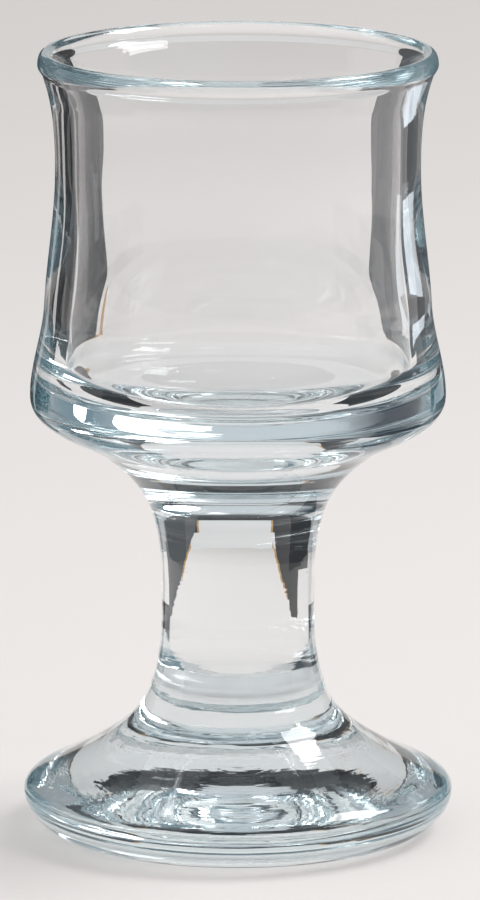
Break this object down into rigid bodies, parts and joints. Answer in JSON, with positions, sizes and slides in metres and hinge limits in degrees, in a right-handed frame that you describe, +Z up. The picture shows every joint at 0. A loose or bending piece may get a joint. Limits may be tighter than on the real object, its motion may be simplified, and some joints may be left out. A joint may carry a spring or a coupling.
{
  "type": "liqueur glass",
  "caption": "Clear stemmed liqueur glass: waisted cup with a beaded rim, round shoulder and thick floor, a short solid stem and a thick flared foot.",
  "frame": {"origin": "centre of the foot's resting ring, level with the surface that the glass stands on", "axes": "+Z up along the glass's axis of revolution; +X and +Y level, and alike because the glass is round"},
  "size_m": [0.049, 0.049, 0.09],
  "materials": {
    "clear_glass": "polished"
  },
  "bodies": {
    "root": {"bowl": "clear_glass", "stem": "clear_glass", "foot": "clear_glass"}
  },
  "joints": []
}
